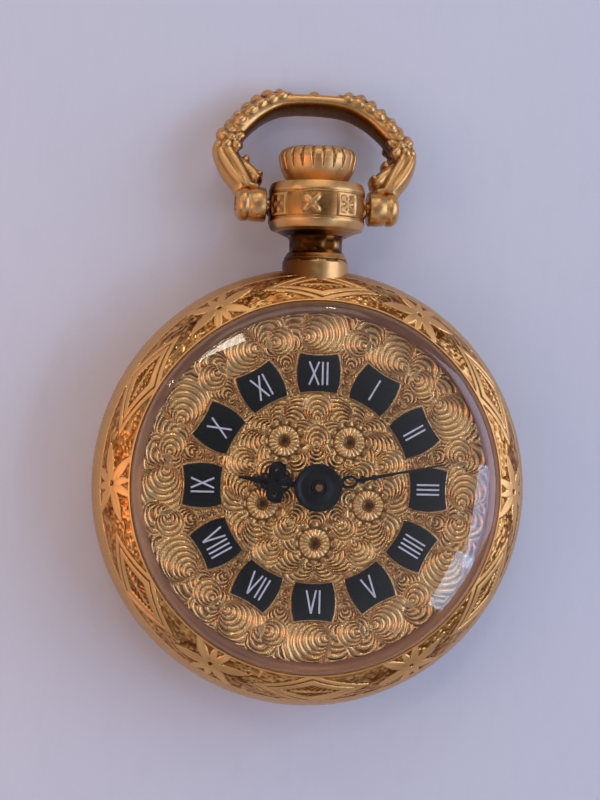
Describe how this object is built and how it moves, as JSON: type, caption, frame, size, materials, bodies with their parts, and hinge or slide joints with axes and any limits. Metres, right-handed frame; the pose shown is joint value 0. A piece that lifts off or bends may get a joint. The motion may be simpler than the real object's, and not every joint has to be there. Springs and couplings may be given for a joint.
{
  "type": "fob watch",
  "caption": "Small gold-plated pendant fob watch with ornate bow, fluted crown, relief dial with black Roman numeral tablets, and a hand-wound lever movement inside.",
  "frame": {"origin": "middle of the flat case back, which the watch lies on", "axes": "+Z out of the dial, +Y towards twelve o'clock and the crown, +X towards three o'clock"},
  "size_m": [0.027, 0.0388, 0.0087],
  "materials": {
    "gold_case": "gold-plated, polished with engraved and cast ornament",
    "gold_dial": "gilt, stamped in relief, satin",
    "crystal": "clear polished acrylic",
    "enamel": "glossy black enamel with white numerals",
    "black_hand": "black lacquer",
    "movement_brass": "gilt brass, fine grained",
    "bridge_nickel": "nickel-plated, striped",
    "steel": "polished tempered steel",
    "blued_steel": "blued spring steel",
    "ruby": "polished synthetic ruby"
  },
  "bodies": {
    "case": {"case_middle": "gold_case", "case_back": "gold_case", "bezel": "gold_case", "crystal": "crystal", "pendant": "gold_case", "bow_screws": "gold_case", "movement_ring": "movement_brass", "dial": "gold_dial", "numeral_cartouches": "enamel", "main_plate": "movement_brass", "barrel_bridge": "bridge_nickel", "train_bridge": "bridge_nickel", "balance_cock": "bridge_nickel", "pallet_bridge": "bridge_nickel", "plate_jewels": "ruby", "bridge_jewels": "ruby", "bridge_screws": "blued_steel", "pallet_bridge_screws": "blued_steel", "case_clamps": "steel", "case_screws": "blued_steel", "crown_wheel_screw": "steel", "click_screw": "blued_steel", "setting_lever_screw": "blued_steel", "click_spring": "steel", "yoke_spring": "steel", "hairspring": "blued_steel"},
    "bow": {"bow": "gold_case"},
    "barrel": {"barrel_drum": "movement_brass", "barrel_cover": "movement_brass", "mainspring": "steel"},
    "barrel_arbor": {"barrel_arbor": "steel", "ratchet_wheel": "steel", "ratchet_screw": "steel"},
    "crown_wheel": {"crown_wheel": "steel"},
    "click": {"click": "steel"},
    "centre_wheel": {"centre_wheel": "movement_brass"},
    "third_wheel": {"third_wheel": "movement_brass"},
    "fourth_wheel": {"fourth_wheel": "movement_brass"},
    "escape_wheel": {"escape_wheel": "steel"},
    "pallet_fork": {"pallet_fork": "steel", "pallet_stones": "ruby"},
    "balance": {"balance_wheel": "movement_brass", "balance_staff": "steel"},
    "regulator": {"regulator": "steel"},
    "winding_pinion": {"winding_pinion": "steel"},
    "crown": {"crown": "gold_case", "winding_stem": "steel"},
    "sliding_pinion": {"sliding_pinion": "steel"},
    "setting_lever": {"setting_lever": "steel"},
    "yoke": {"yoke": "steel"},
    "minute_hand": {"cannon_pinion": "steel", "minute_hand": "black_hand", "minute_hand_boss": "black_hand"},
    "hour_hand": {"hour_wheel": "movement_brass", "hour_hand": "black_hand"},
    "minute_wheel": {"minute_wheel": "movement_brass"},
    "setting_wheel": {"setting_wheel": "steel"}
  },
  "joints": [
    {"name": "bow_swing", "type": "hinge", "parent": "case", "child": "bow", "pos_m": [0, 0.0174, 0.00365], "axis": [1, 0, 0], "range_deg": [-123, 158]},
    {"name": "crown_turn", "type": "hinge", "parent": "case", "child": "winding_pinion", "pos_m": [0, 0, 0.00365], "axis": [0, 1, 0], "continuous": true},
    {"name": "crown_pull", "type": "slide", "parent": "winding_pinion", "child": "crown", "axis": [0, 1, 0], "range_m": [0, 0.0007]},
    {"name": "clutch_slide", "type": "slide", "parent": "winding_pinion", "child": "sliding_pinion", "axis": [0, 1, 0], "range_m": [-0.0005, 0]},
    {"name": "setting_lever_turn", "type": "hinge", "parent": "case", "child": "setting_lever", "pos_m": [-0.0017, 0.0069, 0.00365], "axis": [0, 0, 1], "range_deg": [0, 26.1]},
    {"name": "yoke_turn", "type": "hinge", "parent": "case", "child": "yoke", "pos_m": [-0.0026, 0.0042, 0.00365], "axis": [0, 0, 1], "range_deg": [-11.1, 0], "deforming": ["yoke_spring"]},
    {"name": "crown_wheel_turn", "type": "hinge", "parent": "case", "child": "crown_wheel", "pos_m": [0, 0.00456, 0.00365], "axis": [0, 0, 1], "continuous": true},
    {"name": "ratchet_turn", "type": "hinge", "parent": "case", "child": "barrel_arbor", "pos_m": [0.00339, 0.00158, 0.00365], "axis": [0, 0, 1], "continuous": true, "deforming": ["mainspring"]},
    {"name": "click_lift", "type": "hinge", "parent": "case", "child": "click", "pos_m": [0.0072, 0.00239, 0.00365], "axis": [0, 0, 1], "range_deg": [-8, 0], "stiffness_Nm_per_rad": 0.0000001, "springref_deg": 17.19, "deforming": ["click_spring"]},
    {"name": "fourth_wheel_turn", "type": "hinge", "parent": "case", "child": "fourth_wheel", "pos_m": [-0.00164, -0.00515, 0.00365], "axis": [0, 0, 1], "continuous": true},
    {"name": "third_wheel_turn", "type": "hinge", "parent": "case", "child": "third_wheel", "pos_m": [0.00028, -0.00323, 0.00365], "axis": [0, 0, 1], "continuous": true},
    {"name": "centre_wheel_turn", "type": "hinge", "parent": "case", "child": "centre_wheel", "pos_m": [0, 0, 0.00365], "axis": [0, 0, 1], "continuous": true},
    {"name": "barrel_turn", "type": "hinge", "parent": "case", "child": "barrel", "pos_m": [0.00339, 0.00158, 0.00365], "axis": [0, 0, 1], "continuous": true},
    {"name": "escape_wheel_turn", "type": "hinge", "parent": "case", "child": "escape_wheel", "pos_m": [-0.0039, -0.00368, 0.00365], "axis": [0, 0, 1], "continuous": true},
    {"name": "pallet_fork_swing", "type": "hinge", "parent": "case", "child": "pallet_fork", "pos_m": [-0.00456, -0.00247, 0.00365], "axis": [0, 0, 1], "range_deg": [-5, 5]},
    {"name": "balance_swing", "type": "hinge", "parent": "case", "child": "balance", "pos_m": [-0.00566, -0.00044, 0.00365], "axis": [0, 0, 1], "range_deg": [-270, 270], "deforming": ["hairspring"]},
    {"name": "regulator_turn", "type": "hinge", "parent": "case", "child": "regulator", "pos_m": [-0.00566, -0.00044, 0.00365], "axis": [0, 0, 1], "range_deg": [-20, 20]},
    {"name": "minute_hand_turn", "type": "hinge", "parent": "case", "child": "minute_hand", "pos_m": [0, 0, 0.00365], "axis": [0, 0, 1], "continuous": true},
    {"name": "hour_hand_turn", "type": "hinge", "parent": "case", "child": "hour_hand", "pos_m": [0, 0, 0.00365], "axis": [0, 0, 1], "continuous": true},
    {"name": "minute_wheel_turn", "type": "hinge", "parent": "case", "child": "minute_wheel", "pos_m": [0, 0.0018, 0.00365], "axis": [0, 0, 1], "continuous": true},
    {"name": "setting_wheel_turn", "type": "hinge", "parent": "case", "child": "setting_wheel", "pos_m": [0, 0.0039, 0.00365], "axis": [0, 0, 1], "continuous": true}
  ],
  "couplings": [
    {"joint": "third_wheel_turn", "follows": "fourth_wheel_turn", "ratio": -0.13333},
    {"joint": "centre_wheel_turn", "follows": "fourth_wheel_turn", "ratio": 0.016667},
    {"joint": "barrel_turn", "follows": "fourth_wheel_turn", "ratio": -0.0021368},
    {"joint": "escape_wheel_turn", "follows": "fourth_wheel_turn", "ratio": -10},
    {"joint": "hour_hand_turn", "follows": "minute_hand_turn", "ratio": 0.083333},
    {"joint": "minute_wheel_turn", "follows": "minute_hand_turn", "ratio": -0.33333},
    {"joint": "setting_wheel_turn", "follows": "minute_hand_turn", "ratio": 0.6},
    {"joint": "crown_wheel_turn", "follows": "crown_turn", "ratio": 0.64706},
    {"joint": "ratchet_turn", "follows": "crown_turn", "ratio": -0.45833},
    {"joint": "clutch_slide", "follows": "crown_pull", "ratio": -0.71429},
    {"joint": "setting_lever_turn", "follows": "crown_pull", "rad_per_m": 649.01},
    {"joint": "yoke_turn", "follows": "crown_pull", "rad_per_m": -274.76}
  ]
}
